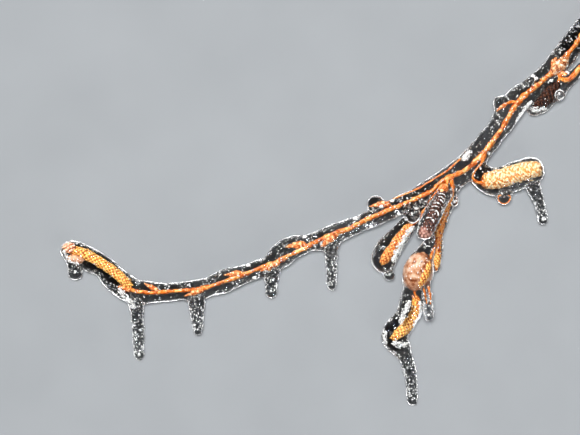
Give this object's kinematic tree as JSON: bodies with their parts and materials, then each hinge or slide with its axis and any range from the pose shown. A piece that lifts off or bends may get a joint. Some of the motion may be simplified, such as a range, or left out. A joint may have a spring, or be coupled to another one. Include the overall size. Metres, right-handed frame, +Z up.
{
  "type": "icicles on an ice-glazed twig",
  "caption": "Clear icicles and round frozen drops hanging from a twig glazed in ice, with buds and catkins sealed inside, lying flat on a surface.",
  "frame": {"origin": "on the surface that the piece lies on, below the middle of its bounding box", "axes": "+X along the twig from the hanging end catkin towards the cut end, +Z up from the surface, -Y the way the icicles grew"},
  "size_m": [0.2147, 0.1573, 0.0155],
  "materials": {
    "clear_ice": "clear solid ice, wet-looking gloss with fine ripples and bubbles",
    "twig_bark": "smooth red-brown young bark",
    "catkin": "dry golden-brown overlapping scales",
    "seed_cone": "dark brown weathered scales"
  },
  "bodies": {
    "root": {"left_catkin_glaze": "clear_ice", "lower_twig_glaze": "clear_ice", "upper_twig_glaze": "clear_ice", "hanging_shoot_glaze": "clear_ice", "front_catkin_glaze": "clear_ice", "egg_catkin_glaze": "clear_ice", "lower_catkin_glaze": "clear_ice", "inclined_catkin_glaze": "clear_ice", "right_catkin_glaze": "clear_ice", "side_twig_glaze": "clear_ice", "seed_cone_glaze": "clear_ice", "lower_bud_glaze": "clear_ice", "upper_bud_glaze": "clear_ice", "icicle_1": "clear_ice", "icicle_2": "clear_ice", "icicle_3": "clear_ice", "icicle_4": "clear_ice", "icicle_5": "clear_ice", "icicle_6": "clear_ice", "icicle_7": "clear_ice", "drop_1": "clear_ice", "drop_2": "clear_ice", "drop_3": "clear_ice", "drop_4": "clear_ice", "drop_5": "clear_ice", "drop_6": "clear_ice", "twig_end": "twig_bark"}
  },
  "joints": []
}
